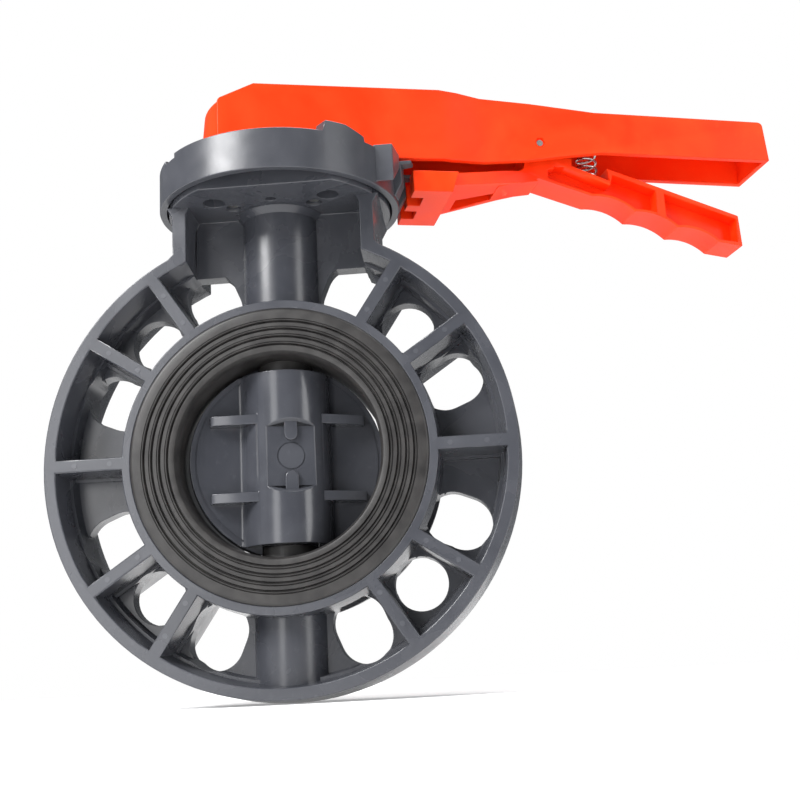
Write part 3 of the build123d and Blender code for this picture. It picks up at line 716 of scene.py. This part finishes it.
stem_steel = turned_steel("stem_steel", (120.0, 120.0, 3500.0), 0.28)
bush_plastic = moulded_plastic(
    "bush_plastic", BUSH_TINT, BUSH_RUBBED,
    mottle=0.3, mottle_size=90.0, roughness=0.42, spread=0.15, bump=0.1,
)
seal_rubber = moulded_plastic(
    "seal_rubber", SEAL_TINT, SEAL_RUBBED,
    mottle=0.4, mottle_size=200.0, roughness=0.4, spread=0.2, bump=0.2,
)
dress("stem", stem_steel)
dress("retaining_ring", stem_steel)
for bush in ("inner_stem_bush", "upper_stem_bush", "lower_stem_bush", "thrust_washer"):
    dress(bush, bush_plastic)
for seal in ("upper_o_rings", "lower_o_ring"):
    dress(seal, seal_rubber)

# ---------------------------------------------------------------- index plate
# A skirted plate of the same grey PVC is screwed to the pad. It has radial ribs below, latch
# teeth round a quarter turn, and faceted stops at the ends of the lever's travel.
PLATE_EDGE = 0.0005
SKIRT_R = 0.0525
SKIRT_INNER_R = 0.0498
SKIRT_LIP_Z = 0.1126
PLATE_UPPER_Z = 0.1296


def plate_corner(edge):
    """The skirt's lip and the outer corners near the top; the ribs inside stay sharp."""
    spot = middle(edge)
    around = math.hypot(spot.x, spot.y)
    if not edge.is_convex:
        return 0.0
    if around > SKIRT_R:
        return 1.0
    if spot.z > PLATE_UPPER_Z:
        return 0.6
    if around > SKIRT_INNER_R and spot.z < SKIRT_LIP_Z:
        return 0.6
    return 0.0


plate_plastic = moulded_plastic(
    "plate_plastic", GREY, GREY_RUBBED,
    mottle=0.30, mottle_size=60.0, roughness=0.34, spread=0.30, bump=0.25,
)
moulding(
    "index_plate", "plate_moulding", plate_plastic, "valve", PLATE_EDGE, plate_corner
)
screw_steel = turned_steel("screw_steel", (900.0, 900.0, 300.0), 0.32)
dress("plate_screws", screw_steel)

# ---------------------------------------------------------------- lever handle
# The lever is a long hollow channel moulded in bright red ABS, with flow marks in its satin
# sides. Its head drops over the stem's square and is held by a hexagon screw and two washers.
RED = (0.90, 0.027, 0.001)
RED_PALE = (0.95, 0.062, 0.008)
LEVER_EDGE = 0.0005
SOCKET_R = 0.0135
SOCKET_TOP_Z = 0.1600
PIN_U = 0.1196
PIN_Z = 0.1456
PIN_CLEAR = 0.004


def lever_corner(edge):
    """Every outer corner of the channel, but not the stem's socket or the pin's holes."""
    spot = turned_back @ middle(edge)
    if not edge.is_convex:
        return 0.0
    if math.hypot(spot.x, spot.y) < SOCKET_R and spot.z < SOCKET_TOP_Z:
        return 0.0
    if abs(spot.x - PIN_U) < PIN_CLEAR and abs(spot.z - PIN_Z) < PIN_CLEAR:
        return 0.0
    return 0.9


red_plastic = moulded_plastic(
    "red_plastic", RED, RED_PALE,
    mottle=0.70, mottle_size=26.0, roughness=0.42, spread=0.30, bump=0.20, specular=0.18,
)
moulding(
    "lever_handle", "lever_moulding", red_plastic, "handle", LEVER_EDGE, lever_corner
)
dress("lever_screw", screw_steel)
dress("lever_washer", screw_steel)
dress("spring_washer", turned_steel("spring_steel", (700.0, 700.0, 700.0), 0.25))

# ---------------------------------------------------------------- trigger
# The trigger is one red moulding: a toothed latch block, a tapering arm with a window, and a
# grip with finger hollows below. It swings on a steel pin under the lever.
TRIGGER_EDGE = 0.00045
NOTCH_U = (0.1350, 0.1570)
NOTCH_LOW_Z = 0.1280


def trigger_corner(edge):
    """Outer corners of the latch, the arm and the grip's thin rims, but not the spring's notch."""
    spot = turned_back @ middle(edge)
    if NOTCH_U[0] < spot.x < NOTCH_U[1] and spot.z > NOTCH_LOW_Z:
        return 0.0
    return 0.9 if edge.is_convex else 0.0


trigger_plastic = moulded_plastic(
    "trigger_plastic", RED, RED_PALE,
    mottle=0.50, mottle_size=45.0, roughness=0.38, spread=0.30, bump=0.20, specular=0.2,
)
moulding(
    "trigger_latch", "trigger_moulding", trigger_plastic, "trigger",
    TRIGGER_EDGE, trigger_corner,
)
dress("trigger_pin", turned_steel("pin_steel", (1500.0, 1500.0, 1500.0), 0.35))

# ---------------------------------------------------------------- return spring
# A bright compression spring, wound from round wire, stands on the trigger and pushes up
# against the lever's roof. It is built at one fixed length and goes with the lever.
SPRING_U = 0.1470
SPRING_LOW = 0.1344
SPRING_HIGH = 0.1568
COIL_R = 0.0046
WIRE_R = 0.0006
TURNS = 5.5
STEPS_PER_TURN = 40
WIRE_SIDES = 12


def spring_tree(material):
    """Round wire swept along a spiral, with named sizes."""
    tree = geometry_tree("coil_spring")
    sockets = {
        "turns": tree_input(tree, "Turns", "NodeSocketFloat", TURNS),
        "radius": tree_input(tree, "Coil Radius", "NodeSocketFloat", COIL_R),
        "height": tree_input(tree, "Height", "NodeSocketFloat", SPRING_HIGH - SPRING_LOW),
        "wire": tree_input(tree, "Wire Radius", "NodeSocketFloat", WIRE_R),
    }
    given = tree.nodes.new("NodeGroupInput")
    spiral = tree.nodes.new("GeometryNodeCurveSpiral")
    spiral.inputs["Resolution"].default_value = STEPS_PER_TURN
    ring = tree.nodes.new("GeometryNodeCurvePrimitiveCircle")
    ring.inputs["Resolution"].default_value = WIRE_SIDES
    sweep = tree.nodes.new("GeometryNodeCurveToMesh")
    sweep.inputs["Fill Caps"].default_value = True
    tree.links.new(given.outputs["Turns"], spiral.inputs["Rotations"])
    tree.links.new(given.outputs["Coil Radius"], spiral.inputs["Start Radius"])
    tree.links.new(given.outputs["Coil Radius"], spiral.inputs["End Radius"])
    tree.links.new(given.outputs["Height"], spiral.inputs["Height"])
    tree.links.new(given.outputs["Wire Radius"], ring.inputs["Radius"])
    tree.links.new(spiral.outputs["Curve"], sweep.inputs["Curve"])
    tree.links.new(ring.outputs["Curve"], sweep.inputs["Profile Curve"])
    finish_tree(tree, sweep.outputs["Mesh"], material)
    return tree, sockets


spring_wire = turned_steel("spring_wire", (500.0, 500.0, 500.0), 0.22)
coil_tree, coil_sockets = spring_tree(spring_wire)
spring_height = SPRING_HIGH - SPRING_LOW - 2 * WIRE_R
spring = baked(
    "return_spring",
    spots_mesh("spring_spot", [(0.0, 0.0, 0.0)]),
    coil_tree,
    {
        coil_sockets["turns"]: TURNS,
        coil_sockets["radius"]: COIL_R,
        coil_sockets["height"]: spring_height,
        coil_sockets["wire"]: WIRE_R,
    },
)
lever_angle = math.radians(LEVER_TURN_DEG)
spring_x = SPRING_U * math.cos(lever_angle)
spring_y = SPRING_U * math.sin(lever_angle)
spring.data.transform(Matrix.Translation((spring_x, spring_y, SPRING_LOW + WIRE_R)))
for polygon in spring.data.polygons:
    polygon.use_smooth = True
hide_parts("trigger_spring")
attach(spring, "handle")
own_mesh(spring)
